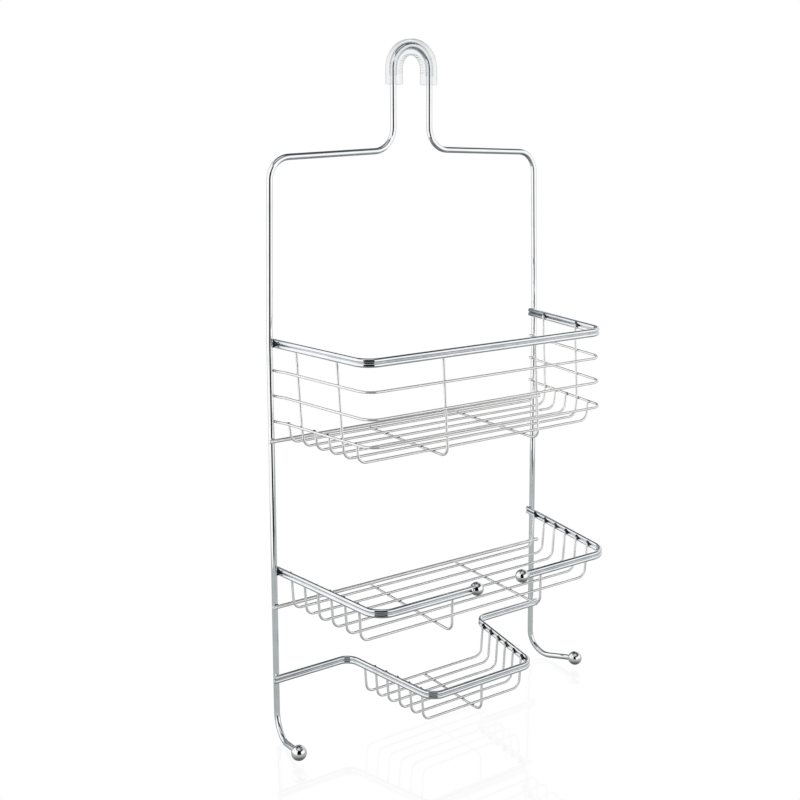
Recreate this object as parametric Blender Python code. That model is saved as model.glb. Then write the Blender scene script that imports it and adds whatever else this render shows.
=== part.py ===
"""Hanging wire shower caddy: bent rod frame, clear grip sleeve, deep basket, tray with a front gap, and soap dish.

Lengths are in millimetres here and become metres in at(). X runs across, the front faces -Y and +Z is up.
The origin is the saddle, the top of the sleeve's inner arch, where the sleeve rests on the shower arm.
"""

import math

import bmesh
import bpy
from mathutils import Vector
from mathutils.geometry import intersect_point_line

MM = 0.001
GAP = 0.3

ROD_R = 2.5
RAIL_R = 1.75
BAR_R = 1.6
THIN_R = 1.05

ARM_R = 10.65
LOOP_R = 18.4
SLEEVE_OUT = 5.1
SLEEVE_HALF_DEPTH = 5.5
SLEEVE_LEG = 12.5
RIB_DEPTH = 0.8
RIB_COUNT_LEG = 5
RIB_COUNT_ARCH = 16
SLEEVE_EDGE = 1.6

SHOULDER_X = 135.2
SHOULDER_Z = -79.6
NECK_X = 18.4
NECK_Z = -75.4
SHOULDER_BEND = 18.0
NECK_BEND = 19.0
KINK_Z = -223.6
KINK_X = 139.7
FOOT_Z = -561.6
FOOT_X = 142.7
HOOK_BEND = 20.0
HOOK_SPLAY = math.radians(11.0)
HOOK_RISE = math.radians(12.0)
HOOK_REACH = 53.0
HOOK_BALL_R = 6.5
TRAY_BALL_R = 5.75
BALL_WALL = 1.0

BASKET_Z = -223.6
BASKET_DEPTH = 107.0
BASKET_FRONT_X = 120.9
BASKET_DROOP = 2.2 / 107.0
GUARD_DROPS = (21.9, 42.5, 63.5)
GUARD_LEAN = 4.8 / 63.5
BASKET_FLOOR_DROP = 79.2
BASKET_FLOOR_Y = tuple(12.6 + 16.0 * i for i in range(6))
BASKET_BEND = 14.0
UPRIGHT_SET_BACK = 5.5
GUARD_BEHIND = 2.0
GUARD_JOINS = 12.0

TRAY_Z = -413.9
TRAY_DEPTH = 119.5
TRAY_FRONT_X = 121.0
TRAY_DROOP = 4.4 / 119.5
TRAY_GAP_X = 24.1
TRAY_FLOOR_DROP = 30.0
TRAY_FLOOR_Y = tuple(13.0 + 16.4 * i for i in range(6))
TRAY_BEND = 17.0

DISH_Z = -507.0
DISH_DEPTH = 100.6
DISH_BACK_X = 71.3
DISH_FRONT_X = 54.5
DISH_DROOP = 4.2 / 100.6
DISH_FLOOR_DROP = 27.4
DISH_FLOOR_Y = tuple(19.6 + 13.3 * i for i in range(6))
DISH_BEND = 13.0
DISH_BACK_BEND = 12.0

CROSS_X = 47.0
CROSS_BACK = 3.0
WIRE_BEND = 7.5
END_PAST_POST = 4.5
UPRIGHT_TUCK = 1.0
FLOOR_LEAN = 2.0
BAR_ABOVE_FLOOR = 0.6
SLANT_ALLOWANCE = 0.06
ARCH_STEPS = 10
FRAME_STEPS = 7
RAIL_STEPS = 6
THIN_STEPS = 4

CHROME = (0.80, 0.81, 0.83, 1.0)
CLEAR = (0.86, 0.89, 0.91, 1.0)


def at(point):
    return Vector(point) * MM


def post_x(z):
    """X of a post's centre line at height z."""
    if z > KINK_Z:
        share = (z - KINK_Z) / (SHOULDER_Z - KINK_Z)
        return KINK_X + share * (SHOULDER_X - KINK_X)
    share = (z - KINK_Z) / (FOOT_Z - KINK_Z)
    return KINK_X + share * (FOOT_X - KINK_X)


def rounded(points, bends, steps):
    """The line through the points, with an arc of each given radius at the inner corners."""
    points = [Vector(p) for p in points]
    line = [points[0]]
    for before, corner, after, bend in zip(points, points[1:], points[2:], bends):
        to_back = (before - corner).normalized()
        to_next = (after - corner).normalized()
        half = to_back.angle(to_next) / 2
        if bend <= 0 or half > math.radians(89.5):
            line.append(corner)
            continue
        reach = bend / math.tan(half)
        middle = corner + (to_back + to_next).normalized() * (bend / math.sin(half))
        start = corner + to_back * reach - middle
        end = corner + to_next * reach - middle
        turn = start.angle(end)
        for step in range(steps + 1):
            share = step / steps
            first = math.sin((1 - share) * turn) / math.sin(turn)
            second = math.sin(share * turn) / math.sin(turn)
            line.append(middle + start * first + end * second)
    line.append(points[-1])
    return line


def mirrored(line):
    return [Vector((-p.x, p.y, p.z)) for p in line]


def both_sides(half):
    """A line from the left end to the right end, from its right half listed end first."""
    return mirrored(half) + list(reversed(half))


def clear_scene():
    for old in list(bpy.data.objects):
        bpy.data.objects.remove(old, do_unlink=True)


def new_collection(name):
    collection = bpy.data.collections.new(name)
    bpy.context.scene.collection.children.link(collection)
    return collection


def give_material(obj, colour, roughness, metallic):
    material = bpy.data.materials.new(obj.name + "_finish")
    material.use_nodes = True
    shader = material.node_tree.nodes["Principled BSDF"]
    shader.inputs["Base Color"].default_value = colour
    shader.inputs["Roughness"].default_value = roughness
    shader.inputs["Metallic"].default_value = metallic
    obj.data.materials.append(material)


def wire(name, line, radius, parts, sides_step=2):
    """A round wire along the line, with flat cut ends."""
    curve = bpy.data.curves.new(name, "CURVE")
    curve.dimensions = "3D"
    curve.bevel_depth = radius * MM
    curve.bevel_resolution = sides_step
    curve.use_fill_caps = True
    spline = curve.splines.new("POLY")
    spline.points.add(len(line) - 1)
    for target, point in zip(spline.points, line):
        target.co = (*at(point), 1.0)
    obj = bpy.data.objects.new(name, curve)
    parts.objects.link(obj)
    give_material(obj, CHROME, 0.12, 1.0)
    return obj


def link_mesh(name, shell, parts):
    bmesh.ops.recalc_face_normals(shell, faces=shell.faces)
    mesh = bpy.data.meshes.new(name)
    shell.to_mesh(mesh)
    shell.free()
    obj = bpy.data.objects.new(name, mesh)
    parts.objects.link(obj)
    return obj


def hook_line():
    """Right half of the hook, from the middle of its ball back to the post."""
    across = math.sin(HOOK_SPLAY)
    forward = -math.cos(HOOK_SPLAY)
    rise = math.tan(HOOK_RISE)
    foot = Vector((FOOT_X, 0, FOOT_Z))
    return foot + HOOK_REACH * Vector((across, forward, rise)), foot


def frame_half():
    """Right half of the frame rod, from the hook's ball to the top of the loop."""
    ball, foot = hook_line()
    points = [
        ball,
        foot,
        (KINK_X, 0, KINK_Z),
        (SHOULDER_X, 0, SHOULDER_Z),
        (NECK_X, 0, NECK_Z),
        (NECK_X, 0, 0),
    ]
    line = rounded(points, (HOOK_BEND, 0, SHOULDER_BEND, NECK_BEND), FRAME_STEPS)[:-1]
    centre_z = -ARM_R
    for step in range(ARCH_STEPS + 1):
        angle = math.radians(90) * step / ARCH_STEPS
        line.append(Vector((LOOP_R * math.cos(angle), 0, centre_z + LOOP_R * math.sin(angle))))
    return line


def make_frame(parts):
    half = frame_half()
    wire("frame_rod", half[:-1] + list(reversed(mirrored(half))), ROD_R, parts, sides_step=3)


def sleeve_path():
    """Stations along the sleeve: middle of the wire, outward direction and depth of the inner wall."""
    stations = []
    bottom = -ARM_R - SLEEVE_LEG
    count = RIB_COUNT_LEG * 2
    for step in range(count):
        z = bottom + SLEEVE_LEG * step / count
        stations.append((Vector((LOOP_R, 0, z)), Vector((1, 0, 0))))
    count = RIB_COUNT_ARCH * 2
    for step in range(count + 1):
        angle = math.pi * step / count
        out = Vector((math.cos(angle), 0, math.sin(angle)))
        stations.append((Vector((0, 0, -ARM_R)) + out * LOOP_R, out))
    count = RIB_COUNT_LEG * 2
    for step in range(1, count + 1):
        z = -ARM_R - SLEEVE_LEG * step / count
        stations.append((Vector((-LOOP_R, 0, z)), Vector((-1, 0, 0))))
    return stations


def sleeve_ring(middle, out, inner):
    """Twelve points round the outside of the sleeve's section and eight round its bore."""
    depth = SLEEVE_HALF_DEPTH
    cut = SLEEVE_EDGE
    corners = [
        (-inner, depth - cut),
        (-inner + cut, depth),
        (0, depth),
        (SLEEVE_OUT - cut, depth),
        (SLEEVE_OUT, depth - cut),
        (SLEEVE_OUT, 0),
        (SLEEVE_OUT, cut - depth),
        (SLEEVE_OUT - cut, -depth),
        (0, -depth),
        (-inner + cut, -depth),
        (-inner, cut - depth),
        (-inner, 0),
    ]
    skin = [middle + out * along + Vector((0, across, 0)) for along, across in corners]
    bore_r = (ROD_R + GAP) / math.cos(math.pi / 8)
    bore = []
    for side in range(8):
        angle = math.pi / 4 * side + math.pi / 8
        bore.append(middle + out * (bore_r * math.cos(angle)) + Vector((0, bore_r * math.sin(angle), 0)))
    return skin, bore


def make_sleeve(parts):
    shell = bmesh.new()
    skins = []
    bores = []
    for index, (middle, out) in enumerate(sleeve_path()):
        inner = LOOP_R - ARM_R
        if index % 2:
            inner -= RIB_DEPTH
        skin, bore = sleeve_ring(middle, out, inner)
        skins.append([shell.verts.new(at(p)) for p in skin])
        bores.append([shell.verts.new(at(p)) for p in bore])
    for rings in (skins, bores):
        for ring, after in zip(rings, rings[1:]):
            for side in range(len(ring)):
                other = (side + 1) % len(ring)
                shell.faces.new((ring[side], ring[other], after[other], after[side]))
    for end in (0, -1):
        edges = []
        for ring in (skins[end], bores[end]):
            for side in range(len(ring)):
                edges.append(shell.edges.get((ring[side], ring[(side + 1) % len(ring)])))
        bmesh.ops.triangle_fill(shell, use_beauty=True, edges=edges)
    sleeve = link_mesh("grip_sleeve", shell, parts)
    give_material(sleeve, CLEAR, 0.18, 0.0)


def ball_with_bores(name, middle, radius, bores, parts, cutters):
    """A ball bored blind for the wire ends that it is pressed on. Each bore is (start, end, radius)."""
    shell = bmesh.new()
    bmesh.ops.create_uvsphere(shell, u_segments=18, v_segments=10, radius=radius * MM)
    bmesh.ops.translate(shell, verts=shell.verts, vec=at(middle))
    ball = link_mesh(name, shell, parts)
    for number, (start, end, bore_r) in enumerate(bores):
        run = Vector(end) - Vector(start)
        tool = bmesh.new()
        bmesh.ops.create_cone(
            tool,
            cap_ends=True,
            segments=12,
            radius1=bore_r * MM,
            radius2=bore_r * MM,
            depth=run.length * MM,
        )
        turn = Vector((0, 0, 1)).rotation_difference(run)
        bmesh.ops.rotate(tool, verts=tool.verts, cent=(0, 0, 0), matrix=turn.to_matrix())
        bmesh.ops.translate(tool, verts=tool.verts, vec=at((Vector(start) + Vector(end)) / 2))
        cutter = link_mesh(f"{name}_bore_{number}", tool, cutters)
        cutter.hide_render = True
        cutter.display_type = "WIRE"
        cut = ball.modifiers.new(f"bore_{number}", "BOOLEAN")
        cut.operation = "DIFFERENCE"
        cut.solver = "EXACT"
        cut.object = cutter
    give_material(ball, CHROME, 0.08, 1.0)


def make_hook_balls(parts, cutters):
    ball, foot = hook_line()
    bore_r = (ROD_R + GAP) / math.cos(math.pi / 12)
    inward = (foot - ball).normalized()
    start = ball - inward * GAP
    end = ball + inward * (HOOK_BALL_R + BALL_WALL)
    for name, side in (("hook_ball_right", 1), ("hook_ball_left", -1)):
        flip = Vector((side, 1, 1))
        ball_with_bores(name, ball * flip, HOOK_BALL_R, [(start * flip, end * flip, bore_r)], parts, cutters)


def drooped(line, base_z, droop):
    """The line moved from the shelf's own level frame to its place, sinking a little towards the front."""
    return [Vector((p.x, p.y, base_z + p.z + droop * p.y)) for p in line]


def side_x(line, depth):
    """X where the right side of a shelf wire passes the given depth behind its front corner."""
    for first, second in zip(line, line[1:]):
        if first.y >= -depth >= second.y:
            share = (first.y + depth) / (first.y - second.y)
            return first.x + share * (second.x - first.x)
    return line[-1].x


def inside_x(line, depth, clear):
    """X at the given depth, just inside the right side of a shelf wire: clear of its centre line by the distance."""
    point = Vector((side_x(line, depth), -depth))
    while True:
        nearest = clear
        for first, second in zip(line, line[1:]):
            close, share = intersect_point_line(point, first.xy, second.xy)
            if 0 <= share <= 1:
                nearest = min(nearest, (close - point).length)
        if nearest >= clear:
            return point.x
        point.x -= 0.02


def rail_half(back_x, front_x, depth, bend, end_x):
    """Right half of a rim rail in plan, from its back end by the post to end_x on the front."""
    back = Vector((back_x, 0, 0))
    slope = (back_x - front_x) / depth
    start = back + Vector((slope * ROD_R, ROD_R, 0))
    return rounded([start, (front_x, -depth, 0), (end_x, -depth, 0)], (bend,), RAIL_STEPS)


def rail_back_x(z):
    """X of a rim rail where it passes inside the post, with a little more room for its slant."""
    return post_x(z) - ROD_R - RAIL_R - GAP - SLANT_ALLOWANCE


def lifted(line, lift):
    return [p + Vector((0, 0, lift)) for p in line]


def guard_half(plan, slope, drop):
    """Right half of a guard wire, inside the rim rails. Its end is set out to touch the post."""
    inset = RAIL_R - THIN_R
    lean = GUARD_LEAN * drop
    depth = BASKET_DEPTH - inset + lean
    post = post_x(BASKET_Z - drop) - ROD_R - THIN_R - GAP
    points = [
        (post, ROD_R, 0),
        (post, -GUARD_BEHIND, 0),
        (side_x(plan, GUARD_JOINS) - inset, -GUARD_JOINS, 0),
        (BASKET_FRONT_X - inset - slope * lean, -depth, 0),
        (0, -depth, 0),
    ]
    return lifted(rounded(points, (0, 0, BASKET_BEND - inset), RAIL_STEPS)[:-1], -drop)


def floor_wire(name, upright, depth, drop, place, parts):
    """A floor wire with upturned ends. The upright lists (x, depth, z) from its top down to its lean inwards."""
    points = [(x, -back, z) for x, back, z in upright]
    points.append((upright[-1][0] - FLOOR_LEAN, -depth, -drop))
    points.append((0, -depth, -drop))
    bends = [0] * (len(upright) - 1) + [WIRE_BEND]
    half = rounded(points, bends, THIN_STEPS)[:-1]
    wire(name, drooped(both_sides(half), *place), THIN_R, parts)


def cross_wire(name, x, back_y, front_y, foot_y, drop, place, parts):
    """A wire under the floor, running forward and turned up behind the front rail."""
    points = [(x, -back_y, -drop), (x, -foot_y, -drop), (x, -front_y, UPRIGHT_TUCK)]
    wire(name, drooped(rounded(points, (WIRE_BEND,), THIN_STEPS), *place), THIN_R, parts)


def back_bar(name, z, parts):
    half = post_x(z) + END_PAST_POST
    y = -(ROD_R + BAR_R + GAP)
    wire(name, [Vector((-half, y, z)), Vector((half, y, z))], BAR_R, parts)


def make_basket(parts):
    back_x = rail_back_x(BASKET_Z)
    plan = rail_half(back_x, BASKET_FRONT_X, BASKET_DEPTH, BASKET_BEND, 0)
    spread = RAIL_R + GAP / 2
    for name, lift in (("basket_rail_upper", spread), ("basket_rail_lower", -spread)):
        line = both_sides(lifted(plan[:-1], lift))
        wire(name, drooped(line, BASKET_Z, BASKET_DROOP), RAIL_R, parts)
    guards = []
    for name, drop in zip(("upper", "middle", "lower"), GUARD_DROPS):
        half = guard_half(plan, (back_x - BASKET_FRONT_X) / BASKET_DEPTH, drop)
        guards.append(half)
        line = drooped(both_sides(half), BASKET_Z, BASKET_DROOP)
        wire("basket_guard_" + name, line, THIN_R, parts)
    back_bar("basket_back_bar", BASKET_Z - BASKET_FLOOR_DROP + BAR_ABOVE_FLOOR, parts)
    place = (BASKET_Z, BASKET_DROOP)
    for number, depth in enumerate(BASKET_FLOOR_Y, 1):
        x = inside_x(guards[-1], depth, 2 * THIN_R + GAP)
        upright = [(x, depth, UPRIGHT_TUCK - GUARD_DROPS[-1])]
        if number in (2, 5):
            back = depth - UPRIGHT_SET_BACK
            top_x = inside_x(plan, back, RAIL_R + THIN_R + GAP)
            upright = [(top_x, back, UPRIGHT_TUCK), (x, depth, -GUARD_DROPS[-1] - UPRIGHT_TUCK)]
        floor_wire(f"basket_floor_{number}", upright, depth, BASKET_FLOOR_DROP, place, parts)
    drop = BASKET_FLOOR_DROP + 2 * THIN_R + GAP
    front = BASKET_DEPTH - RAIL_R - THIN_R - GAP - GUARD_LEAN * UPRIGHT_TUCK
    foot = front + GUARD_LEAN * drop
    for name, x in (("basket_cross_left", -CROSS_X), ("basket_cross_right", CROSS_X)):
        cross_wire(name, x, CROSS_BACK, front, foot, drop, place, parts)


def shelf_floor(shelf, plan, depths, drop, place, parts):
    """The six floor wires of a shallow shelf, each reaching up to its rim rails."""
    for number, depth in enumerate(depths, 1):
        x = inside_x(plan, depth, RAIL_R + THIN_R + GAP)
        floor_wire(f"{shelf}_floor_{number}", [(x, depth, UPRIGHT_TUCK)], depth, drop, place, parts)


def make_tray(parts, cutters):
    back_x = rail_back_x(TRAY_Z)
    plan = rail_half(back_x, TRAY_FRONT_X, TRAY_DEPTH, TRAY_BEND, TRAY_GAP_X)
    spread = RAIL_R + GAP / 2
    for side, side_name in ((1, "right"), (-1, "left")):
        for lift, level in ((spread, "upper"), (-spread, "lower")):
            line = lifted(plan, lift)
            if side < 0:
                line = mirrored(line)
            name = f"tray_rail_{side_name}_{level}"
            wire(name, drooped(line, TRAY_Z, TRAY_DROOP), RAIL_R, parts)
        ball = drooped([Vector((side * TRAY_GAP_X, -TRAY_DEPTH, 0))], TRAY_Z, TRAY_DROOP)[0]
        bore_r = (RAIL_R + GAP) / math.cos(math.pi / 12)
        bores = []
        for lift in (spread, -spread):
            start = ball + Vector((-side * GAP, 0, lift))
            end = ball + Vector((side * (TRAY_BALL_R + BALL_WALL), 0, lift))
            bores.append((start, end, bore_r))
        ball_with_bores(f"tray_ball_{side_name}", ball, TRAY_BALL_R, bores, parts, cutters)
    back_bar("tray_back_bar", TRAY_Z - TRAY_FLOOR_DROP + BAR_ABOVE_FLOOR, parts)
    shelf_floor("tray", plan, TRAY_FLOOR_Y, TRAY_FLOOR_DROP, (TRAY_Z, TRAY_DROOP), parts)
    drop = TRAY_FLOOR_DROP + 2 * THIN_R + GAP
    front = TRAY_DEPTH - RAIL_R - THIN_R - GAP
    for name, x in (("tray_cross_left", -CROSS_X), ("tray_cross_right", CROSS_X)):
        cross_wire(name, x, CROSS_BACK, front, front, drop, (TRAY_Z, TRAY_DROOP), parts)


def dish_half():
    """Right half of a dish rail in plan: along the frame from the post, then forward round the dish."""
    y = -(ROD_R + RAIL_R + GAP)
    end = post_x(DISH_Z) + END_PAST_POST
    points = [
        (end, y, 0),
        (DISH_BACK_X, y, 0),
        (DISH_FRONT_X, -DISH_DEPTH, 0),
        (0, -DISH_DEPTH, 0),
    ]
    return rounded(points, (DISH_BACK_BEND, DISH_BEND), RAIL_STEPS)


def make_dish(parts):
    plan = dish_half()
    spread = RAIL_R + GAP / 2
    for name, lift in (("dish_rail_upper", spread), ("dish_rail_lower", -spread)):
        line = both_sides(lifted(plan[:-1], lift))
        wire(name, drooped(line, DISH_Z, DISH_DROOP), RAIL_R, parts)
    place = (DISH_Z, DISH_DROOP)
    shelf_floor("dish", plan, DISH_FLOOR_Y, DISH_FLOOR_DROP, place, parts)
    drop = DISH_FLOOR_DROP + 2 * THIN_R + GAP
    front = DISH_DEPTH - RAIL_R - THIN_R - GAP
    cross_wire("dish_cross", 0.0, DISH_FLOOR_Y[0] - THIN_R, front, front, drop, place, parts)


def main():
    clear_scene()
    parts = new_collection("shower_caddy")
    cutters = new_collection("cutters")
    cutters.hide_render = True
    make_frame(parts)
    make_sleeve(parts)
    make_hook_balls(parts, cutters)
    make_basket(parts)
    make_tray(parts, cutters)
    make_dish(parts)


main()
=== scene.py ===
"""Looks of the hanging wire shower caddy: chrome wires, welds and balls, and a clear ribbed grip sleeve.

Lengths are in millimetres and become metres in at(). X runs across, the front faces -Y and +Z is up.
The origin is the saddle, the top of the sleeve's inner arch. Every wire is drawn out and bent as on a bench:
a round section is extruded along each straight run and spun round each bend.
"""

import math
import random

import bpy
from mathutils import Matrix, Quaternion, Vector


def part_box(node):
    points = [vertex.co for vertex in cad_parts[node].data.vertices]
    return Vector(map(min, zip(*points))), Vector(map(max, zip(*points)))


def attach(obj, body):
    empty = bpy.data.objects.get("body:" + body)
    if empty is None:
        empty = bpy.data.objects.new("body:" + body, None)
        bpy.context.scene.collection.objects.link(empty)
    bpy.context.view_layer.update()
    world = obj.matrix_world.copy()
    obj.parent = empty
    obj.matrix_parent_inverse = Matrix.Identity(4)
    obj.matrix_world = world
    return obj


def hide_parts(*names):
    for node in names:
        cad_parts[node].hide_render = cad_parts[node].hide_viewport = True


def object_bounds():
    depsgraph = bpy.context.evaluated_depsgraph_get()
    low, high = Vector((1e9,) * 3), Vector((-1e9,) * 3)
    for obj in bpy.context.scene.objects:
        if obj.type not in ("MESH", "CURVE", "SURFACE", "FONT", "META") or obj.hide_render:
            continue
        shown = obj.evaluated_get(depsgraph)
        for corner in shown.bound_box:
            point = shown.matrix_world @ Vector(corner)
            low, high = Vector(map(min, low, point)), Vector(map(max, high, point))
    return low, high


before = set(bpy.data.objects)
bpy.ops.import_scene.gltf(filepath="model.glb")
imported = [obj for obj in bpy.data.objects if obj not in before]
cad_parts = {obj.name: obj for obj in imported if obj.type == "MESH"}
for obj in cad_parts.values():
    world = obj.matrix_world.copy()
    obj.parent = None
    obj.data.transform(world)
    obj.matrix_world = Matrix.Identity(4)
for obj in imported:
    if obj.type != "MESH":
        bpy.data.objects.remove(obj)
cad_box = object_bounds()

MM = 0.001
PRESS = 0.1
ACROSS = (1, 0, 0)
FORWARD = (0, 1, 0)
UPWARD = (0, 0, 1)

ROD_R = 2.5
RAIL_R = 1.75
BAR_R = 1.6
THIN_R = 1.05
ROD_SIDES = 28
RAIL_SIDES = 24
THIN_SIDES = 16
BEND_STEP = math.radians(7.5)
END_ROUNDING = 0.42
DOUBLES = 0.000002

ARM_R = 10.65
LOOP_R = 18.4
SLEEVE_OUT = 5.1
SLEEVE_HALF_DEPTH = 5.5
SLEEVE_LEG = 12.5
SLEEVE_ROUND = 2.6
RIB_DEPTH = 0.8
RIB_SLOPE = 0.28
RIB_COUNT_LEG = 5
RIB_COUNT_ARCH = 13
RIBBED_LEG = 5.2
BANDS_PER_RIB = 4
BORE_GAP = 0.7
CUFF = 7.0
SLEEVE_CREASE = 25
BALL_CREASE = 60

SHOULDER = (135.2, 0, -79.6)
NECK = (18.4, 0, -75.4)
SHOULDER_BEND = 18.0
NECK_BEND = 19.0
KINK = (139.7, 0, -223.6)
KINK_BEND = 120.0
FOOT = (142.7, 0, -561.45)
HOOK_BEND = 20.0
HOOK_SPLAY = math.radians(11.0)
HOOK_RISE = math.radians(12.0)
HOOK_REACH = 53.0
HOOK_BALL_R = 6.4
TRAY_BALL_R = 5.66
NECK_COLLAR = 0.35
NECK_STEPS = ((0.35, 0.94), (0.35, 0.95), (0.5, 1.0))

BASKET_Z = -223.6
BASKET_DEPTH = 107.0
BASKET_FRONT_X = 120.9
BASKET_DROOP = 2.2 / 107.0
BASKET_BEND = 14.0
GUARD_DROPS = {"upper": 21.9, "middle": 42.5, "lower": 63.5}
GUARD_LEAN = 4.8 / 63.5
GUARD_BEHIND = 2.0
GUARD_JOINS = 12.0
GUARD_SET = 5.0
BASKET_FLOOR_DROP = 79.2
BASKET_FLOOR_Y = [12.6 + 16.0 * i for i in range(6)]
TALL_UPRIGHTS = (2, 5)
UPRIGHT_SET_BACK = 5.5

TRAY_Z = -413.9
TRAY_DEPTH = 119.5
TRAY_FRONT_X = 121.0
TRAY_DROOP = 4.4 / 119.5
TRAY_BEND = 17.0
TRAY_GAP_X = 24.1
TRAY_FLOOR_DROP = 30.0
TRAY_FLOOR_Y = [13.0 + 16.4 * i for i in range(6)]

DISH_Z = -507.0
DISH_DEPTH = 100.6
DISH_BACK_X = 71.3
DISH_FRONT_X = 54.5
DISH_DROOP = 4.2 / 100.6
DISH_BEND = 13.0
DISH_BACK_BEND = 12.0
DISH_FLOOR_DROP = 27.4
DISH_FLOOR_Y = [19.6 + 13.3 * i for i in range(6)]

POST_WELD = (3.3, 1.8)
DISH_POST_WELD = (3.0, 1.3)
UPRIGHT_WELD = (2.8, 1.5)
CROSS_WELD = (1.8, 1.1)
BAR_WELD = (2.2, 1.1)
GUARD_WELD = (1.5, 0.9)
FLOOR_END_WELD = (1.5, 1.1)
FLOOR_WELD = (1.5, 0.98)
THIN_WELD = (0.9, 1.0)

POST_WELD_AHEAD = 0.8
BAR_WELD_RISE = 0.6
UPRIGHT_WELD_RISE = 0.2
CROSS_WELD_RISE = 0.3

CROSS_X = 47.0
CROSS_BACK = 3.0
WIRE_BEND = 7.5
UPRIGHT_BEND = 12.0
END_PAST_POST = 4.5
UPRIGHT_TUCK = 1.0
FLOOR_LEAN = 2.0
BAR_ABOVE_FLOOR = 0.6

CAMERA_PLACE = (-0.61821, -0.83930, -0.05379)
CAMERA_TURN = math.radians(-35.795)
CAMERA_DIP = math.radians(12.657)
CAMERA_ROLL = math.radians(-0.247)
CAMERA_LENS = 55.51
SENSOR = 36.0

FLOOR_POLISH = 0.07
FLOOR_BELOW = 0.001
TABLE_BELOW = 0.002
TOP_LIGHT = 1.0
TOP_LIGHT_SPREAD = math.radians(60)
TOP_LIGHT_TURN = (math.radians(12), math.radians(-14), 0)
CARD_PLACE = (-0.33, -0.47, -0.22)
CARD_TURN = math.radians(-31)
CARD_SIZE = (0.54, 0.70)
CARD_LEAN = -0.05
CARD_TIP_RISE = 0.15
CARD_TIP = 0.30
TABLE_PLACE = (0.15, -0.08)
TABLE_SIZE = (1.5, 1.35)
# The table's glow seen straight down is painted shade under the caddy. At a slant it is a painted reflection
# of the panels.
TABLE_PAINTED_SHADE = 0.12
TABLE_PAINTED_REFLECTION = 0.46
TABLE_TINT = (0.93, 1.0, 0.99, 1)
CARD_BLACK = (0.004, 0.004, 0.004)

WHITE = 1.0
BLACK = 0.0
DIM_ROOM = (0.08, 0.09, 0.10)
DIM_WALL = (0.16, 0.18, 0.20)
SHADED_PANEL = (0.72, 0.74, 0.75)
WALL_HEADING = 16
TALL_PANEL_HEADING = -65
SHADED_HEADING = 85
LOW_PANEL_TOP = 0.52
LOW_PANEL_END = 0.64
TALL_PANEL_TOP = 0.74
TALL_PANEL_END = 0.86
OVERHEAD = (-0.13, -0.16, 0.978)
OVERHEAD_GLOW = 0.50


def at(point):
    return Vector(point) * MM


def deselect():
    if bpy.context.object and bpy.context.object.mode != "OBJECT":
        bpy.ops.object.mode_set(mode="OBJECT")
    bpy.ops.object.select_all(action="DESELECT")


def begin(name):
    """Names the new primitive, moves its place into its mesh and opens it for editing."""
    obj = bpy.context.object
    obj.name = name
    obj.data.name = name
    bpy.ops.object.transform_apply(location=True, rotation=True, scale=True)
    bpy.ops.object.mode_set(mode="EDIT")
    bpy.ops.mesh.select_mode(type="VERT")
    bpy.ops.mesh.select_all(action="SELECT")
    return obj


def close_up(obj, smooth_angle=40):
    """Merges doubles, turns faces outwards, closes the edit and smooths the faces."""
    bpy.ops.object.mode_set(mode="EDIT")
    bpy.ops.mesh.select_all(action="SELECT")
    bpy.ops.mesh.remove_doubles(threshold=DOUBLES)
    bpy.ops.mesh.normals_make_consistent(inside=False)
    bpy.ops.mesh.select_all(action="DESELECT")
    bpy.ops.object.mode_set(mode="OBJECT")
    bpy.ops.object.shade_smooth_by_angle(angle=math.radians(smooth_angle))
    return obj


def pick(obj, mode, test):
    """Selects only the vertices, edges or faces that pass the test, and leaves the piece open for editing."""
    bpy.ops.object.mode_set(mode="EDIT")
    bpy.ops.mesh.select_mode(type=mode)
    bpy.ops.mesh.select_all(action="DESELECT")
    bpy.ops.object.mode_set(mode="OBJECT")
    items = {"VERT": obj.data.vertices, "EDGE": obj.data.edges, "FACE": obj.data.polygons}[mode]
    for item in items:
        item.select = test(item)
    bpy.ops.object.mode_set(mode="EDIT")


def draw_out(run):
    bpy.ops.mesh.extrude_region_move(TRANSFORM_OT_translate={"value": run})


def bend_round(middle, axis, turn):
    steps = max(2, math.ceil(turn / BEND_STEP))
    bpy.ops.mesh.spin(steps=steps, angle=-turn, center=middle, axis=axis)


def round_off(radius):
    """Caps the open ring that is selected and rounds its rim, like a tumbled wire end."""
    bpy.ops.mesh.edge_face_add()
    bpy.ops.mesh.bevel(offset=radius * END_ROUNDING * MM, segments=3, affect="EDGES")


def bent_wire(name, route, bends, radius, sides, mirrored=False):
    """A wire through the route's corners, bent to the given radii. A mirrored one starts at x = 0."""
    route = [at(p) for p in route]
    heading = (route[1] - route[0]).normalized()
    deselect()
    bpy.ops.mesh.primitive_circle_add(
        vertices=sides,
        radius=radius * MM,
        location=route[0],
        rotation=heading.to_track_quat("Z", "Y").to_euler(),
    )
    obj = begin(name)
    here = route[0]
    for corner, after, bend in zip(route[1:], route[2:], bends):
        onward = (after - corner).normalized()
        turn = heading.angle(onward)
        reach = bend * MM * math.tan(turn / 2)
        inward = (onward - heading).normalized()
        draw_out(corner - heading * reach - here)
        middle = corner + inward * (bend * MM / math.cos(turn / 2))
        bend_round(middle, heading.cross(onward).normalized(), turn)
        here = corner + onward * reach
        heading = onward
    draw_out(route[-1] - here)
    round_off(radius)
    if mirrored:
        bpy.ops.object.mode_set(mode="OBJECT")
        bpy.ops.object.modifier_add(type="MIRROR")
        obj.modifiers[-1].merge_threshold = 0.00001
        bpy.ops.object.modifier_apply(modifier=obj.modifiers[-1].name)
    else:
        start = route[0]
        pick(obj, "VERT", lambda v: (v.co - start).length < radius * 1.05 * MM)
        round_off(radius)
    return close_up(obj)


def settle(obj, material, slot, *nodes):
    """Gives a finished piece its material and its body, and hides the parts that it stands for."""
    obj.data.materials.clear()
    obj.data.materials.append(material)
    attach(obj, "root")
    if nodes:
        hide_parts(*nodes)


# Shapes of the routes


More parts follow.
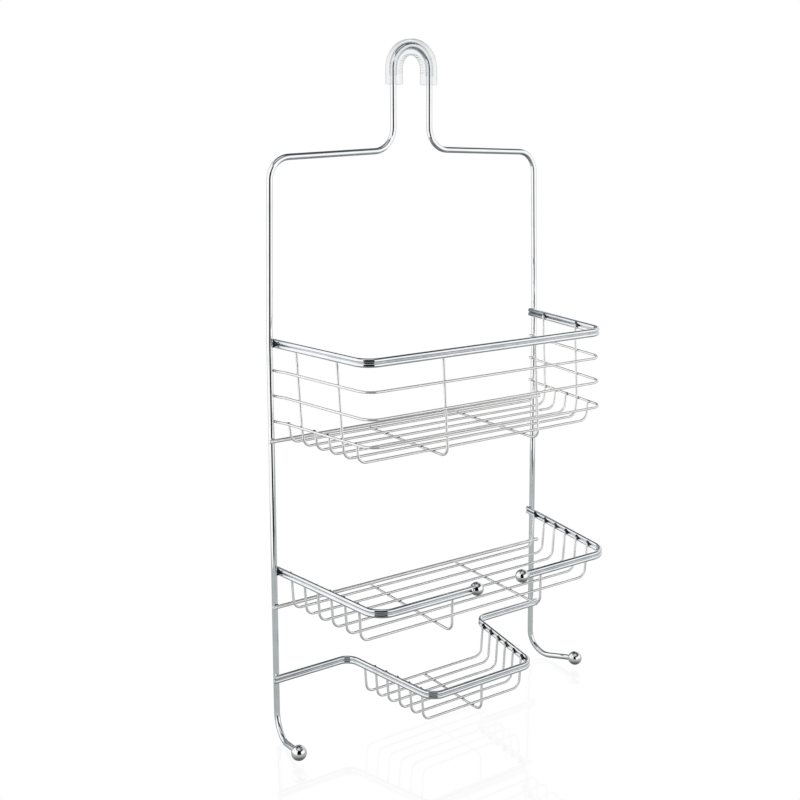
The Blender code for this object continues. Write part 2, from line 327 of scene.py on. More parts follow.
def between(first, second, z):
    share = (z - first[2]) / (second[2] - first[2])
    return first[0] + share * (second[0] - first[0])


def post_x(z):
    """X of a post's centre line at height z."""
    return between(KINK, SHOULDER, z) if z > KINK[2] else between(KINK, FOOT, z)


def drooped(route, base_z, droop):
    """The route moved from a shelf's own level frame to its place, sinking a little towards the front."""
    return [(x, y, base_z + z + droop * y) for x, y, z in route]


def flipped(route):
    return [(-x, y, z) for x, y, z in route]


def rail_back_x(z):
    return post_x(z) - ROD_R - RAIL_R + PRESS


def side_x(back_x, front_x, depth, back):
    """X of a rim rail's straight side at the given distance in front of the posts."""
    return back_x + (front_x - back_x) * back / depth


def inside_x(back_x, front_x, depth, back, clear):
    slant = math.hypot(1, (back_x - front_x) / depth)
    return side_x(back_x, front_x, depth, back) - clear * slant


# Materials

# Noise scales are in features per metre.
CLOUD_SCALE = 55.0
HAZE_SCALE = 120.0
SPOT_SCALE = 210.0
RIPPLE_SCALE = 700.0
SPOT_SIZE = (0.10, 0.16)
SPOT_HAZE = 0.012
RIPPLE_DEPTH = 0.00003

CAST_SCALE = 90.0
SMEAR_SCALE = 260.0
GRAIN_SCALE = 420.0
GRAIN_DEPTH = 0.0001
# The tint is dark, so where it turns opaque at the edges it paints their shade.
VINYL_BLUE = (0.26, 0.32, 0.38)
VINYL_PALE = (0.36, 0.42, 0.48)
# Alpha face on and at a slant: the opaque slant is painted shade at the sleeve's edges.
VINYL_CLEAR = 0.07
VINYL_EDGE_SHADE = 0.97


def new_material(name):
    material = bpy.data.materials.new(name)
    material.use_nodes = True
    nodes = material.node_tree.nodes
    nodes.clear()
    output = nodes.new("ShaderNodeOutputMaterial")
    shader = nodes.new("ShaderNodeBsdfPrincipled")
    material.node_tree.links.new(shader.outputs["BSDF"], output.inputs["Surface"])
    return material, nodes, material.node_tree.links, shader


def object_coordinates(nodes):
    return nodes.new("ShaderNodeTexCoord").outputs["Object"]


def noise(nodes, links, where, scale, detail=3.0, roughness=0.5):
    texture = nodes.new("ShaderNodeTexNoise")
    texture.inputs["Scale"].default_value = scale
    texture.inputs["Detail"].default_value = detail
    texture.inputs["Roughness"].default_value = roughness
    links.new(where, texture.inputs["Vector"])
    return texture.outputs["Fac"]


def ramp(nodes, links, value, stops):
    """A colour ramp. The stops are (place, grey or colour)."""
    node = nodes.new("ShaderNodeValToRGB")
    elements = node.color_ramp.elements
    while len(elements) > len(stops):
        elements.remove(elements[-1])
    while len(elements) < len(stops):
        elements.new(1.0)
    for element, (place, tone) in zip(elements, stops):
        element.position = place
        element.color = (tone, tone, tone, 1) if isinstance(tone, (int, float)) else (*tone, 1)
    links.new(value, node.inputs["Fac"])
    return node.outputs["Color"]


def spread(nodes, links, value, low, high, to_low, to_high):
    node = nodes.new("ShaderNodeMapRange")
    for name, number in (("From Min", low), ("From Max", high), ("To Min", to_low), ("To Max", to_high)):
        node.inputs[name].default_value = number
    links.new(value, node.inputs["Value"])
    return node.outputs["Result"]


def math_node(nodes, links, operation, first, second):
    node = nodes.new("ShaderNodeMath")
    node.operation = operation
    for socket, value in zip(node.inputs, (first, second)):
        if isinstance(value, (int, float)):
            socket.default_value = value
        else:
            links.new(value, socket)
    return node.outputs["Value"]


def bumped(nodes, links, shader, height, strength, distance):
    node = nodes.new("ShaderNodeBump")
    node.inputs["Strength"].default_value = strength
    node.inputs["Distance"].default_value = distance
    links.new(height, node.inputs["Height"])
    links.new(node.outputs["Normal"], shader.inputs["Normal"])


def chrome(name, dull, bright, smooth, hazy, ripple, metal=1.0):
    """Plated wire: clouded tone, patches of haze, dried water spots and a faint ripple from drawing."""
    material, nodes, links, shader = new_material(name)
    where = object_coordinates(nodes)
    cloud = noise(nodes, links, where, CLOUD_SCALE, 4.0, 0.6)
    links.new(ramp(nodes, links, cloud, [(0.32, dull), (0.62, bright)]), shader.inputs["Base Color"])
    spots = nodes.new("ShaderNodeTexVoronoi")
    spots.inputs["Scale"].default_value = SPOT_SCALE
    links.new(where, spots.inputs["Vector"])
    dried = spread(nodes, links, spots.outputs["Distance"], *SPOT_SIZE, SPOT_HAZE, 0.0)
    haze = spread(nodes, links, noise(nodes, links, where, HAZE_SCALE, 5.0, 0.65), 0.35, 0.70, smooth, hazy)
    links.new(math_node(nodes, links, "ADD", haze, dried), shader.inputs["Roughness"])
    shader.inputs["Metallic"].default_value = metal
    bumped(nodes, links, shader, noise(nodes, links, where, RIPPLE_SCALE, 2.0), ripple, RIPPLE_DEPTH)
    return material


def clear_vinyl():
    """Soft clear vinyl: nearly open face on, with painted shade towards its edges, where its dark blue-grey
    tint turns opaque at a slant to stand in for the dark outlines that the clear edges show, and with haze
    where it is handled.
    """
    material, nodes, links, shader = new_material("clear_vinyl")
    where = object_coordinates(nodes)
    cast = noise(nodes, links, where, CAST_SCALE, 3.0)
    links.new(ramp(nodes, links, cast, [(0.3, VINYL_BLUE), (0.7, VINYL_PALE)]), shader.inputs["Base Color"])
    smear = noise(nodes, links, where, SMEAR_SCALE, 4.0, 0.6)
    links.new(spread(nodes, links, smear, 0.35, 0.70, 0.05, 0.16), shader.inputs["Roughness"])
    shader.inputs["IOR"].default_value = 1.48
    edge = nodes.new("ShaderNodeLayerWeight")
    edge.inputs["Blend"].default_value = 0.30
    # Painted shade: the vinyl turns opaque at a slant, so its dark tint paints dark outlines at the edges.
    cloud = spread(nodes, links, edge.outputs["Facing"], 0.25, 1.0, VINYL_CLEAR, VINYL_EDGE_SHADE)
    edge_shade_and_smear = math_node(nodes, links, "MULTIPLY", cloud, spread(nodes, links, smear, 0.3, 0.7, 0.85, 1.2))
    links.new(edge_shade_and_smear, shader.inputs["Alpha"])
    bumped(nodes, links, shader, noise(nodes, links, where, GRAIN_SCALE, 2.0), 0.10, GRAIN_DEPTH)
    return material


POLISHED = {"smooth": 0.008, "hazy": 0.02, "ripple": 0.03}
BRIGHT = {"smooth": 0.008, "hazy": 0.03, "ripple": 0.04}
SATIN = {"smooth": 0.12, "hazy": 0.24, "ripple": 0.08, "metal": 0.78}
PRESSED = {"smooth": 0.01, "hazy": 0.04, "ripple": 0.03}
SCORCHED = {"smooth": 0.12, "hazy": 0.30, "ripple": 0.45}

ROD_CHROME = chrome("rod_chrome", (0.90, 0.91, 0.92), (0.98, 0.98, 0.99), **POLISHED)
RAIL_CHROME = chrome("rail_chrome", (0.86, 0.88, 0.90), (0.97, 0.98, 0.99), **BRIGHT)
WIRE_CHROME = chrome("wire_chrome", (0.90, 0.89, 0.88), (0.99, 0.98, 0.97), **SATIN)
BALL_CHROME = chrome("ball_chrome", (0.92, 0.92, 0.93), (0.98, 0.98, 0.98), **PRESSED)
WELD_CHROME = chrome("weld_chrome", (0.02, 0.02, 0.02), (0.14, 0.14, 0.15), **SCORCHED)
CLEAR_VINYL = clear_vinyl()


# The frame: rod, sleeve and hooks


def hook_end():
    across = math.sin(HOOK_SPLAY)
    forward = -math.cos(HOOK_SPLAY)
    rise = math.tan(HOOK_RISE)
    return Vector(FOOT) + HOOK_REACH * Vector((across, forward, rise))


def make_rod():
    """Half of the rod from the top of the loop to the hook's ball, then its mirror image."""
    top = Vector((0, 0, LOOP_R - ARM_R))
    corner = (LOOP_R, 0, LOOP_R - ARM_R)
    route = [top, corner, NECK, SHOULDER, KINK, FOOT, hook_end()]
    bends = (LOOP_R - 0.05, NECK_BEND, SHOULDER_BEND, KINK_BEND, HOOK_BEND)
    rod = bent_wire("bent_rod", route, bends, ROD_R, ROD_SIDES, mirrored=True)
    settle(rod, ROD_CHROME, "chrome", "frame_rod")


def make_sleeve():
    """The section and its bore, drawn up one leg, spun over the arch, drawn down the other and ribbed."""
    deselect()
    inner = ARM_R + RIB_DEPTH
    outer = LOOP_R + SLEEVE_OUT
    foot_z = -ARM_R - SLEEVE_LEG
    bpy.ops.mesh.primitive_plane_add(size=1, location=at(((inner + outer) / 2, 0, foot_z)))
    plate = bpy.context.object
    plate.scale = ((outer - inner) * MM, 2 * SLEEVE_HALF_DEPTH * MM, 1)
    sleeve = begin("clear_sleeve")
    bpy.ops.mesh.bevel(offset=SLEEVE_ROUND * MM, segments=5, affect="VERTICES")
    bpy.ops.mesh.delete(type="ONLY_FACE")
    bpy.ops.mesh.primitive_circle_add(
        vertices=ROD_SIDES, radius=(ROD_R - PRESS / 2) * MM, location=at((LOOP_R, 0, foot_z))
    )
    bpy.ops.mesh.select_all(action="SELECT")
    leg_bands = RIB_COUNT_LEG * BANDS_PER_RIB
    for _ in range(leg_bands):
        draw_out((0, 0, SLEEVE_LEG / leg_bands * MM))
    arch_bands = RIB_COUNT_ARCH * BANDS_PER_RIB
    bpy.ops.mesh.spin(steps=arch_bands, angle=math.pi, center=at((0, 0, -ARM_R)), axis=(0, 1, 0))
    for _ in range(leg_bands):
        draw_out((0, 0, -SLEEVE_LEG / leg_bands * MM))
    for side in (1, -1):
        pick(sleeve, "EDGE", lambda e: at_foot(sleeve, e, side, foot_z))
        bpy.ops.mesh.bridge_edge_loops()
    close_up(sleeve)
    pick(sleeve, "VERT", in_open_bore)
    bpy.ops.transform.shrink_fatten(value=-BORE_GAP * MM)
    pick(sleeve, "FACE", is_rib)
    bpy.ops.mesh.inset(thickness=RIB_SLOPE * MM, depth=RIB_DEPTH * MM)
    close_up(sleeve, SLEEVE_CREASE)
    settle(sleeve, CLEAR_VINYL, "clear_vinyl", "grip_sleeve")


def at_foot(piece, edge, side, foot_z):
    ends = [piece.data.vertices[i].co for i in edge.vertices]
    return all(abs(p.z - foot_z * MM) < 0.01 * MM and p.x * side > 0 for p in ends)


def in_open_bore(vertex):
    """True on the bore's wall above the cuffs that grip the rod."""
    x, y, z = vertex.co / MM
    if z < -ARM_R:
        off = abs(x) - LOOP_R
    else:
        off = math.hypot(x, z + ARM_R) - LOOP_R
    return math.hypot(off, y) < ROD_R + 0.2 and z > -ARM_R - SLEEVE_LEG + CUFF


def is_rib(face):
    """True on the bands of the inner wall that stand up as ribs."""
    middle = face.center / MM
    if abs(middle.y) > SLEEVE_HALF_DEPTH - SLEEVE_ROUND:
        return False
    if middle.z < -ARM_R:
        inward = abs(middle.x) < ARM_R + RIB_DEPTH + 0.05
        band = (-ARM_R - middle.z) / SLEEVE_LEG * RIB_COUNT_LEG
    else:
        inward = math.hypot(middle.x, middle.z + ARM_R) < ARM_R + RIB_DEPTH + 0.05
        band = math.atan2(middle.z + ARM_R, middle.x) / math.pi * RIB_COUNT_ARCH
    return inward and middle.z > -ARM_R - RIBBED_LEG and band % 1.0 < 0.5


def make_ball(name, node, radius, toward, neck_r):
    """A ball with a short neck that closes on the wire. Toward is the way the wire leaves it."""
    low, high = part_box(node)
    middle = (low + high) / 2
    deselect()
    bpy.ops.mesh.primitive_uv_sphere_add(
        segments=44,
        ring_count=26,
        radius=radius * MM,
        location=middle,
        rotation=toward.to_track_quat("Z", "Y").to_euler(),
    )
    ball = begin(name)
    cap = math.cos(math.asin((neck_r + NECK_COLLAR) / radius))
    pick(ball, "FACE", lambda f: (f.center - middle).normalized().dot(toward) > cap)
    for step, scale in NECK_STEPS:
        draw_out(toward * (step * MM))
        bpy.ops.transform.resize(value=(scale, scale, scale))
    close_up(ball, BALL_CREASE)
    settle(ball, BALL_CHROME, "chrome", node)


def make_hook_balls():
    inward = (Vector(FOOT) - hook_end()).normalized()
    make_ball("hook_end_right", "hook_ball_right", HOOK_BALL_R, inward, ROD_R)
    inward.x = -inward.x
    make_ball("hook_end_left", "hook_ball_left", HOOK_BALL_R, inward, ROD_R)


# Welds


welds = []


def weld(point, size, along):
    """Notes a weld at a point: its size along the line given and its width across it."""
    welds.append((Vector(point), size, Vector(along)))


def make_welds(name):
    """One lumpy bead modelled once and copied to every place noted, then joined into one piece."""
    random.seed(name)
    beads = []
    deselect()
    bpy.ops.mesh.primitive_ico_sphere_add(subdivisions=2, radius=1)
    first = begin("bead")
    bpy.ops.transform.vertex_random(offset=0.10, seed=7)
    bpy.ops.object.mode_set(mode="OBJECT")
    for point, (long, wide), along in welds:
        bead = first.copy()
        bead.data = first.data.copy()
        bpy.context.scene.collection.objects.link(bead)
        lean = along.to_track_quat("Z", "Y")
        twist = Quaternion((0, 0, 1), random.uniform(0, math.tau))
        grow = random.uniform(0.88, 1.12)
        size = Matrix.Diagonal((wide * grow * MM, wide * grow * MM, long * grow * MM, 1))
        bead.matrix_world = Matrix.Translation(at(point)) @ (lean @ twist).to_matrix().to_4x4() @ size
        beads.append(bead)
    bpy.data.objects.remove(first)
    deselect()
    for bead in beads:
        bead.select_set(True)
    bpy.context.view_layer.objects.active = beads[0]
    bpy.ops.object.join()
    joined = begin(name)
    bpy.ops.mesh.select_all(action="DESELECT")
    bpy.ops.object.mode_set(mode="OBJECT")
    bpy.ops.object.shade_smooth()
    settle(joined, WELD_CHROME, "chrome")
    welds.clear()


# Shelves


def make_rim(shelf, plan, bends, base_z, droop):
    """The two rails of a rim, one on the other."""
    for level, lift in (("upper", RAIL_R), ("lower", -RAIL_R)):
        route = drooped([(x, y, lift) for x, y in plan], base_z, droop)
        rail = bent_wire(f"{shelf}_rim_{level}", route, bends, RAIL_R, RAIL_SIDES, mirrored=True)
        settle(rail, RAIL_CHROME, "chrome", f"{shelf}_rail_{level}")


def make_bar(name, z, node):
    half = post_x(z) + END_PAST_POST
    y = -(ROD_R + BAR_R - PRESS)
    bar = bent_wire(name, [(0, y, z), (half, y, z)], (), BAR_R, RAIL_SIDES, mirrored=True)
    settle(bar, WIRE_CHROME, "chrome", node)
    for side in (1, -1):
        weld((side * post_x(z), -ROD_R, z + BAR_R * BAR_WELD_RISE), BAR_WELD, ACROSS)


def floor_route(upright, back, drop):
    """Right half of a floor wire, from the middle out and up its end.

    The upright lists its points (x, distance in front of the posts, z) from the top down.
    """
    foot_x = upright[-1][0] - FLOOR_LEAN
    route = [(0, -back, -drop), (foot_x, -back, -drop)]
    route += [(x, -far, z) for x, far, z in reversed(upright)]
    return route


def make_floor_wire(name, node, route, place):
    bends = (WIRE_BEND,) + (UPRIGHT_BEND,) * (len(route) - 3)
    wire = bent_wire(name, drooped(route, *place), bends, THIN_R, THIN_SIDES, mirrored=True)
    settle(wire, WIRE_CHROME, "chrome", node)


def make_cross(name, node, x, ends, drop, place):
    """A wire under the floor, running forward and turned up behind the front rail.

    The ends are how far in front of the posts it starts, turns up and ends.
    """
    back, foot, front = ends
    route = [(x, -back, -drop), (x, -foot, -drop), (x, -front, UPRIGHT_TUCK)]
    wire = bent_wire(name, drooped(route, *place), (WIRE_BEND,), THIN_R, THIN_SIDES)
    settle(wire, WIRE_CHROME, "chrome", node)


def weld_both(point, size, along, place):
    """The same weld on the right and on the left, given in a shelf's level frame."""
    for side in (1, -1):
        weld_in((side * point[0], point[1], point[2]), size, (side * along[0], along[1], along[2]), place)


def weld_in(point, size, along, place):
    weld(drooped([point], *place)[0], size, along)


def make_guard(name, drop, back_x, place):
    inset = RAIL_R - THIN_R
    lean = GUARD_LEAN * drop
    front_x = BASKET_FRONT_X - inset - (back_x - BASKET_FRONT_X) / BASKET_DEPTH * lean
    depth = BASKET_DEPTH - inset + lean
    post = post_x(BASKET_Z - drop) - ROD_R - THIN_R + PRESS
    joins_x = side_x(back_x, BASKET_FRONT_X, BASKET_DEPTH, GUARD_JOINS) - inset
    plan = [(0, -depth), (front_x, -depth), (joins_x, -GUARD_JOINS), (post, -GUARD_BEHIND), (post, ROD_R)]
    route = drooped([(x, y, -drop) for x, y in plan], *place)
    bends = (BASKET_BEND - inset, GUARD_SET, GUARD_SET)
    guard = bent_wire(f"basket_wire_{name}", route, bends, THIN_R, THIN_SIDES, mirrored=True)
    settle(guard, WIRE_CHROME, "chrome", f"basket_guard_{name}")
    weld_both((post + THIN_R, 0, -drop), GUARD_WELD, FORWARD, place)
    return joins_x, front_x, depth


def make_basket():
    place = (BASKET_Z, BASKET_DROOP)
    back_x = rail_back_x(BASKET_Z)
    side = (back_x, BASKET_FRONT_X, BASKET_DEPTH)
    plan = [(0, -BASKET_DEPTH), (BASKET_FRONT_X, -BASKET_DEPTH), (side_x(*side, -ROD_R), ROD_R)]
    make_rim("basket", plan, (BASKET_BEND,), *place)
    weld_both((back_x + RAIL_R, -POST_WELD_AHEAD, 0), POST_WELD, UPWARD, place)
    guards = {}
    for name, drop in GUARD_DROPS.items():
        guards[name] = make_guard(name, drop, back_x, place)
    make_bar("basket_bar", BASKET_Z - BASKET_FLOOR_DROP + BAR_ABOVE_FLOOR, "basket_back_bar")
    low_drop = GUARD_DROPS["lower"]
    joins_x, front_x, depth = guards["lower"]
    slope = (joins_x - front_x) / (depth - GUARD_JOINS)
    for number, back in enumerate(BASKET_FLOOR_Y, 1):
        x = joins_x - slope * (back - GUARD_JOINS) - (2 * THIN_R - PRESS)
        upright = [(x, back, UPRIGHT_TUCK - low_drop)]
        if number in TALL_UPRIGHTS:
            top_back = back - UPRIGHT_SET_BACK
            top_x = inside_x(*side, top_back, RAIL_R + THIN_R - PRESS)
            upright = [(top_x, top_back, UPRIGHT_TUCK), (x, back, -low_drop - UPRIGHT_TUCK)]
            weld_both((top_x + THIN_R, -top_back, UPRIGHT_WELD_RISE), UPRIGHT_WELD, UPWARD, place)
            for level in ("upper", "middle"):
                share = GUARD_DROPS[level] / low_drop
                crossing = (top_x + share * (x - top_x) + THIN_R, -top_back - share * (back - top_back))
                weld_both((*crossing, -GUARD_DROPS[level]), THIN_WELD, FORWARD, place)
        weld_both((x + THIN_R, -back, -low_drop), FLOOR_END_WELD, UPWARD, place)
        route = floor_route(upright, back, BASKET_FLOOR_DROP)
        make_floor_wire(f"basket_base_{number}", f"basket_floor_{number}", route, place)
    drop = BASKET_FLOOR_DROP + 2 * THIN_R - PRESS
    front = BASKET_DEPTH - RAIL_R - THIN_R + PRESS
    foot = front + GUARD_LEAN * drop
    for name, x in (("left", -CROSS_X), ("right", CROSS_X)):
        make_cross(f"basket_tie_{name}", f"basket_cross_{name}", x, (CROSS_BACK, foot, front), drop, place)
    weld_crossings(BASKET_FLOOR_Y, BASKET_FLOOR_DROP + THIN_R, CROSS_X, place)
    for level, level_drop in GUARD_DROPS.items():
        weld_both((CROSS_X, -guards[level][2] + THIN_R, -level_drop), THIN_WELD, ACROSS, place)
    weld_both((CROSS_X, -front - THIN_R, CROSS_WELD_RISE), CROSS_WELD, UPWARD, place)
    make_welds("basket_welds")


def weld_crossings(backs, drop, x, place):
    """A small weld where each floor wire lies on the cross wire at x, and on its twin unless x is 0."""
    for back in backs:
        if x:
            weld_both((x, -back, -drop), FLOOR_WELD, ACROSS, place)
        else:
            weld_in((x, -back, -drop), FLOOR_WELD, ACROSS, place)


def make_shallow_floor(shelf, side, backs, drop, place):
    for number, back in enumerate(backs, 1):
        x = inside_x(*side, back, RAIL_R + THIN_R - PRESS)
        route = floor_route([(x, back, UPRIGHT_TUCK)], back, drop)
        make_floor_wire(f"{shelf}_base_{number}", f"{shelf}_floor_{number}", route, place)
        weld_both((x + THIN_R * 0.7, -back, UPRIGHT_WELD_RISE), UPRIGHT_WELD, UPWARD, place)


def make_tray():
    place = (TRAY_Z, TRAY_DROOP)
    back_x = rail_back_x(TRAY_Z)
    side = (back_x, TRAY_FRONT_X, TRAY_DEPTH)
    plan = [(TRAY_GAP_X, -TRAY_DEPTH), (TRAY_FRONT_X, -TRAY_DEPTH), (side_x(*side, -ROD_R), ROD_R)]
    for level, lift in (("upper", RAIL_R), ("lower", -RAIL_R)):
        route = drooped([(x, y, lift) for x, y in plan], *place)
        for half, one in (("right", route), ("left", flipped(route))):
            rail = bent_wire(f"tray_rim_{half}_{level}", one, (TRAY_BEND,), RAIL_R, RAIL_SIDES)
            settle(rail, RAIL_CHROME, "chrome", f"tray_rail_{half}_{level}")
    make_ball("rim_end_right", "tray_ball_right", TRAY_BALL_R, Vector((1, 0, 0)), 2 * RAIL_R)
    make_ball("rim_end_left", "tray_ball_left", TRAY_BALL_R, Vector((-1, 0, 0)), 2 * RAIL_R)
    weld_both((back_x + RAIL_R, -POST_WELD_AHEAD, 0), POST_WELD, UPWARD, place)
    make_bar("tray_bar", TRAY_Z - TRAY_FLOOR_DROP + BAR_ABOVE_FLOOR, "tray_back_bar")
    make_shallow_floor("tray", side, TRAY_FLOOR_Y, TRAY_FLOOR_DROP, place)
    drop = TRAY_FLOOR_DROP + 2 * THIN_R - PRESS
    front = TRAY_DEPTH - RAIL_R - THIN_R + PRESS
    for name, x in (("left", -CROSS_X), ("right", CROSS_X)):
        make_cross(f"tray_tie_{name}", f"tray_cross_{name}", x, (CROSS_BACK, front, front), drop, place)
    weld_crossings(TRAY_FLOOR_Y, TRAY_FLOOR_DROP + THIN_R, CROSS_X, place)
    weld_both((CROSS_X, -front - THIN_R, CROSS_WELD_RISE), CROSS_WELD, UPWARD, place)
    make_welds("tray_welds")


def make_dish():
    place = (DISH_Z, DISH_DROOP)
    y = -(ROD_R + RAIL_R - PRESS)
    end = post_x(DISH_Z) + END_PAST_POST
    plan = [(0, -DISH_DEPTH), (DISH_FRONT_X, -DISH_DEPTH), (DISH_BACK_X, y), (end, y)]
    make_rim("dish", plan, (DISH_BEND, DISH_BACK_BEND), *place)
    weld_both((post_x(DISH_Z), -ROD_R, 0), DISH_POST_WELD, UPWARD, place)
    slope = (DISH_BACK_X - DISH_FRONT_X) / (DISH_DEPTH + y)
    side = (DISH_BACK_X - slope * y, DISH_FRONT_X, DISH_DEPTH)
    make_shallow_floor("dish", side, DISH_FLOOR_Y, DISH_FLOOR_DROP, place)
    drop = DISH_FLOOR_DROP + 2 * THIN_R - PRESS
    front = DISH_DEPTH - RAIL_R - THIN_R + PRESS
    make_cross("dish_tie", "dish_cross", 0.0, (DISH_FLOOR_Y[0] - THIN_R, front, front), drop, place)
    weld_crossings(DISH_FLOOR_Y, DISH_FLOOR_DROP + THIN_R, 0, place)
    weld_in((0, -front - THIN_R, CROSS_WELD_RISE), CROSS_WELD, UPWARD, place)
    make_welds("dish_welds")


# Studio


def plain(name, tone, specular):
    material, nodes, links, shader = new_material(name)
    shader.inputs["Base Color"].default_value = (*tone, 1)
    shader.inputs["Roughness"].default_value = 1.0
    shader.inputs["Specular IOR Level"].default_value = specular
    return material, nodes, links, shader


def make_floor():
    """White acrylic sheet lit evenly from below, with a faint polish."""
    bpy.ops.mesh.primitive_plane_add(size=30, location=(0, 0, cad_box[0][2] - FLOOR_BELOW))
    floor = bpy.context.object
    floor.name = "studio_floor"
    material, nodes, links, shader = plain("pale_floor", (0, 0, 0), 0.0)
    shader.inputs["Emission Color"].default_value = (1, 1, 1, 1)
    shader.inputs["Emission Strength"].default_value = 1.0
    polish = nodes.new("ShaderNodeBsdfGlossy")
    polish.inputs["Roughness"].default_value = 0.0
    polish.inputs["Color"].default_value = (1, 1, 1, 1)
    mix = nodes.new("ShaderNodeMixShader")
    mix.inputs["Fac"].default_value = FLOOR_POLISH
    links.new(shader.outputs["BSDF"], mix.inputs[1])
    links.new(polish.outputs["BSDF"], mix.inputs[2])
    links.new(mix.outputs["Shader"], nodes["Material Output"].inputs["Surface"])
    floor.data.materials.append(material)
    floor.visible_glossy = False


def only_in_chrome(obj):
    """Hides a studio board from everything but reflections."""
    obj.visible_camera = False
    obj.visible_diffuse = False
    obj.visible_transmission = False
    obj.visible_shadow = False


def make_card():
    """A black card beside the lens, drawn in to a narrow top. Chrome shows it, the floor's polish doesn't."""
    turn = (math.radians(90), 0, CARD_TURN)
    bpy.ops.mesh.primitive_plane_add(size=1, location=CARD_PLACE, rotation=turn)
    card = bpy.context.object
    card.name = "black_card"
    card.scale = (*CARD_SIZE, 1)
    pick(card, "VERT", lambda v: v.co.y > 0)
    bpy.ops.transform.translate(value=(CARD_LEAN, 0, 0))
    draw_out((CARD_LEAN / 2, 0, CARD_TIP_RISE))
    tip = Vector(CARD_PLACE) + Vector((1.5 * CARD_LEAN, 0, CARD_SIZE[1] / 2 + CARD_TIP_RISE))
    bpy.ops.transform.resize(value=(CARD_TIP, CARD_TIP, 1), center_override=tip)
    bpy.ops.object.mode_set(mode="OBJECT")
    material, nodes, links, shader = plain("black_card", CARD_BLACK, 0.0)
    path = nodes.new("ShaderNodeLightPath")
    unseen = math_node(nodes, links, "SUBTRACT", 1.0, path.outputs["Is Singular Ray"])
    links.new(unseen, shader.inputs["Alpha"])
    card.data.materials.append(material)
    only_in_chrome(card)


def make_table():
    """The grey table under the caddy, seen only in the chrome as a glow: darker seen straight down, a painted
    shade under the caddy, and paler at a slant, a painted reflection of the panels on its polish.
    """
    place = (*TABLE_PLACE, cad_box[0][2] - TABLE_BELOW)
    bpy.ops.mesh.primitive_plane_add(size=1, location=place)
    table = bpy.context.object
    table.name = "table_with_painted_shade"
    table.scale = (*TABLE_SIZE, 1)
    bpy.ops.object.transform_apply(location=True, rotation=True, scale=True)
    material, nodes, links, shader = plain("table_with_painted_shade", (0, 0, 0), 0.0)
    slant = nodes.new("ShaderNodeLayerWeight")
    slant.inputs["Blend"].default_value = 0.5
    # Painted shade and reflection: the glow is darker seen straight down and paler at a slant.
    tone = spread(nodes, links, slant.outputs["Facing"], 0.1, 0.65, TABLE_PAINTED_SHADE, TABLE_PAINTED_REFLECTION)
    shader.inputs["Emission Color"].default_value = TABLE_TINT
    links.new(tone, shader.inputs["Emission Strength"])
    table.data.materials.append(material)
    only_in_chrome(table)


def make_studio():
    deselect()
    make_floor()
    deselect()
    make_card()
    deselect()
    make_table()
    sun = bpy.data.lights.new("top_light", "SUN")
    sun.energy = TOP_LIGHT
    sun.angle = TOP_LIGHT_SPREAD
    lamp = bpy.data.objects.new("top_light", sun)
    lamp.rotation_euler = TOP_LIGHT_TURN
    lamp.visible_glossy = False
    bpy.context.scene.collection.objects.link(lamp)


def facing(nodes, links, direction, heading):
    """How nearly a direction points along a heading: 1 straight along it, 0 square to it."""
    node = nodes.new("ShaderNodeVectorMath")
    node.operation = "DOT_PRODUCT"
    node.inputs[1].default_value = heading
    links.new(direction, node.inputs[0])
    return node.outputs["Value"]


def blended(nodes, links, way, share, first, second):
    node = nodes.new("ShaderNodeMixRGB")
    node.blend_type = way
    if isinstance(share, float):
        node.inputs["Fac"].default_value = share
    else:
        links.new(share, node.inputs["Fac"])
    links.new(first, node.inputs["Color1"])
    links.new(second, node.inputs["Color2"])
    return node.outputs["Color"]


def compass(degrees):
    """The level direction at the given degrees from +Y towards +X."""
    return (math.sin(math.radians(degrees)), math.cos(math.radians(degrees)), 0)


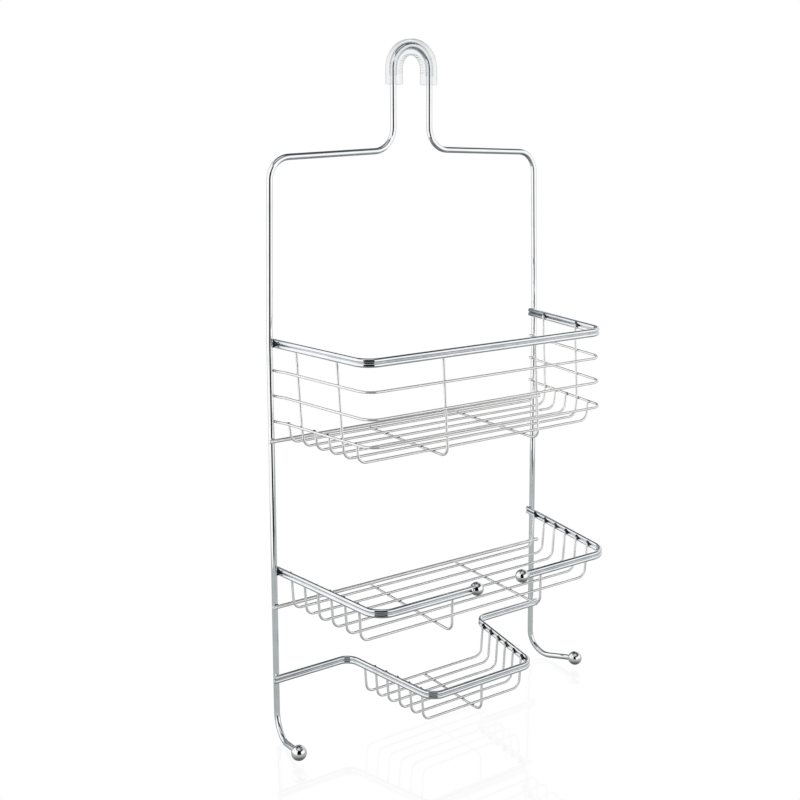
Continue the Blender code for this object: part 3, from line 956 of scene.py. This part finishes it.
def make_world():
    """White panels beside the camera, a dim room behind and above, and a small light overhead.

    They light the caddy and show in its chrome. The camera and the floor's polish see plain white.
    """
    world = bpy.data.worlds.new("light_tent")
    bpy.context.scene.world = world
    world.use_nodes = True
    nodes = world.node_tree.nodes
    links = world.node_tree.links
    nodes.clear()
    output = nodes.new("ShaderNodeOutputWorld")
    direction = nodes.new("ShaderNodeTexCoord").outputs["Generated"]
    split = nodes.new("ShaderNodeSeparateXYZ")
    links.new(direction, split.inputs["Vector"])
    height = split.outputs["Z"]
    level = nodes.new("ShaderNodeCombineXYZ")
    links.new(split.outputs["X"], level.inputs["X"])
    links.new(split.outputs["Y"], level.inputs["Y"])
    flat = nodes.new("ShaderNodeVectorMath")
    flat.operation = "NORMALIZE"
    links.new(level.outputs["Vector"], flat.inputs[0])
    around = flat.outputs["Vector"]
    low_panel = ramp(nodes, links, height, [(LOW_PANEL_TOP, WHITE), (LOW_PANEL_END, DIM_ROOM)])
    tall_panel = ramp(nodes, links, height, [(TALL_PANEL_TOP, WHITE), (TALL_PANEL_END, DIM_ROOM)])
    left = facing(nodes, links, around, compass(TALL_PANEL_HEADING))
    left = ramp(nodes, links, left, [(0.40, BLACK), (0.60, WHITE)])
    room = blended(nodes, links, "MIX", left, low_panel, tall_panel)
    wall = facing(nodes, links, around, compass(WALL_HEADING))
    wall = ramp(nodes, links, wall, [(0.84, WHITE), (0.89, DIM_WALL)])
    room = blended(nodes, links, "MULTIPLY", 1.0, room, wall)
    right = facing(nodes, links, around, compass(SHADED_HEADING))
    right = ramp(nodes, links, right, [(0.80, WHITE), (0.90, SHADED_PANEL)])
    room = blended(nodes, links, "MULTIPLY", 1.0, room, right)
    overhead = facing(nodes, links, direction, OVERHEAD)
    overhead = ramp(nodes, links, overhead, [(0.90, BLACK), (0.95, OVERHEAD_GLOW)])
    room = blended(nodes, links, "ADD", 1.0, room, overhead)
    lit = nodes.new("ShaderNodeBackground")
    links.new(room, lit.inputs["Color"])
    backdrop = nodes.new("ShaderNodeBackground")
    backdrop.inputs["Color"].default_value = (1, 1, 1, 1)
    path = nodes.new("ShaderNodeLightPath")
    polish = path.outputs["Is Singular Ray"]
    choice = nodes.new("ShaderNodeMixShader")
    links.new(math_node(nodes, links, "MAXIMUM", path.outputs["Is Camera Ray"], polish), choice.inputs["Fac"])
    links.new(lit.outputs["Background"], choice.inputs[1])
    links.new(backdrop.outputs["Background"], choice.inputs[2])
    links.new(choice.outputs["Shader"], output.inputs["Surface"])


def make_camera():
    lens = bpy.data.cameras.new("camera")
    lens.lens = CAMERA_LENS
    lens.sensor_width = SENSOR
    lens.clip_start = 0.05
    lens.clip_end = 60
    camera = bpy.data.objects.new("camera", lens)
    turn = Matrix.Rotation(CAMERA_TURN, 4, "Z")
    dip = Matrix.Rotation(math.radians(90) - CAMERA_DIP, 4, "X")
    roll = Matrix.Rotation(CAMERA_ROLL, 4, "Z")
    camera.matrix_world = Matrix.Translation(CAMERA_PLACE) @ turn @ dip @ roll
    bpy.context.scene.collection.objects.link(camera)
    bpy.context.scene.camera = camera
    bpy.context.scene.view_settings.view_transform = "Standard"


make_camera()
make_world()
make_studio()
make_rod()
make_sleeve()
make_hook_balls()
make_basket()
make_tray()
make_dish()
